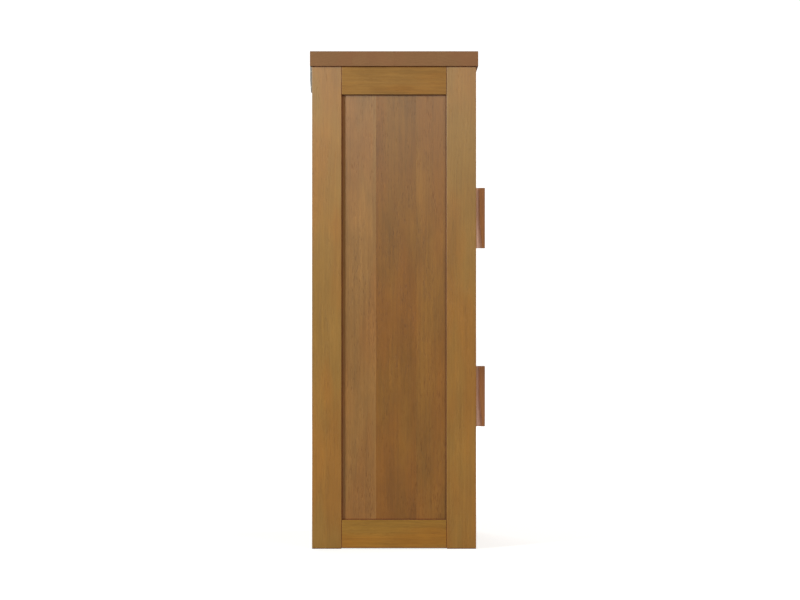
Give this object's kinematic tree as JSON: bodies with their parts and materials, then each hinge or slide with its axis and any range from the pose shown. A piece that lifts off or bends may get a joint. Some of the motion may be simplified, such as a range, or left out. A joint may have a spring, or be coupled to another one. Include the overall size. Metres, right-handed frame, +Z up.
{
  "type": "pantry cabinet",
  "caption": "Slim tall storage cabinet of solid wood with framed side panels, a thick top, stacked inset doors with grooved pull handles, loose shelves and keyhole plates for the wall.",
  "frame": {"origin": "on the floor, at the centre of the footprint of the box that holds the cabinet and its handles", "axes": "+Z up, -Y towards the front with the doors, +X towards the hinge side of the doors"},
  "size_m": [0.46, 0.428, 1.212],
  "materials": {
    "oak_frame": "satin varnish",
    "oak_panel": "satin varnish",
    "oak_top": "satin varnish",
    "oak_inside": "thin varnish",
    "handle_wood": "gloss varnish",
    "plywood": "thin varnish",
    "zinc_steel": "zinc plated",
    "brass": "antique",
    "magnet_steel": "ground",
    "brown_plastic": "matt"
  },
  "bodies": {
    "carcass": {"top_board": "oak_top", "left_front_stile": "oak_frame", "left_back_stile": "oak_frame", "left_top_rail": "oak_frame", "left_bottom_rail": "oak_frame", "left_panel": "oak_panel", "right_front_stile": "oak_frame", "right_back_stile": "oak_frame", "right_top_rail": "oak_frame", "right_bottom_rail": "oak_frame", "right_panel": "oak_panel", "front_top_rail": "oak_frame", "front_middle_rail": "oak_frame", "front_bottom_rail": "oak_frame", "back_top_rail": "oak_inside", "back_bottom_rail": "oak_inside", "back_panel": "plywood", "bottom_board": "oak_inside", "middle_shelf": "oak_inside", "upper_shelf": "oak_inside", "lower_shelf": "oak_inside", "shelf_pins": "zinc_steel", "left_top_cleat": "oak_inside", "right_top_cleat": "oak_inside", "cleat_screws": "brass", "left_wall_plate": "zinc_steel", "right_wall_plate": "zinc_steel", "wall_plate_screws": "zinc_steel", "upper_catch": "brown_plastic", "lower_catch": "brown_plastic", "catch_magnets": "magnet_steel", "catch_screws": "brass", "upper_top_frame_leaf": "brass", "upper_bottom_frame_leaf": "brass", "lower_top_frame_leaf": "brass", "lower_bottom_frame_leaf": "brass", "frame_leaf_screws": "brass", "hinge_pins": "brass"},
    "upper_door": {"upper_door_hinge_stile": "oak_frame", "upper_door_handle_stile": "oak_frame", "upper_door_top_rail": "oak_frame", "upper_door_bottom_rail": "oak_frame", "upper_door_panel": "oak_panel", "upper_handle": "handle_wood", "upper_handle_screws": "zinc_steel", "upper_top_door_leaf": "brass", "upper_bottom_door_leaf": "brass", "upper_door_screws": "brass", "upper_strike": "zinc_steel"},
    "lower_door": {"lower_door_hinge_stile": "oak_frame", "lower_door_handle_stile": "oak_frame", "lower_door_top_rail": "oak_frame", "lower_door_bottom_rail": "oak_frame", "lower_door_panel": "oak_panel", "lower_handle": "handle_wood", "lower_handle_screws": "zinc_steel", "lower_top_door_leaf": "brass", "lower_bottom_door_leaf": "brass", "lower_door_screws": "brass", "lower_strike": "zinc_steel"}
  },
  "joints": [
    {"name": "upper_door_hinge", "type": "hinge", "parent": "carcass", "child": "upper_door", "pos_m": [0.2, -0.1942, 0.85588], "axis": [0, 0, 1], "range_deg": [0, 180]},
    {"name": "lower_door_hinge", "type": "hinge", "parent": "carcass", "child": "lower_door", "pos_m": [0.2, -0.1942, 0.32162], "axis": [0, 0, 1], "range_deg": [0, 180]}
  ]
}
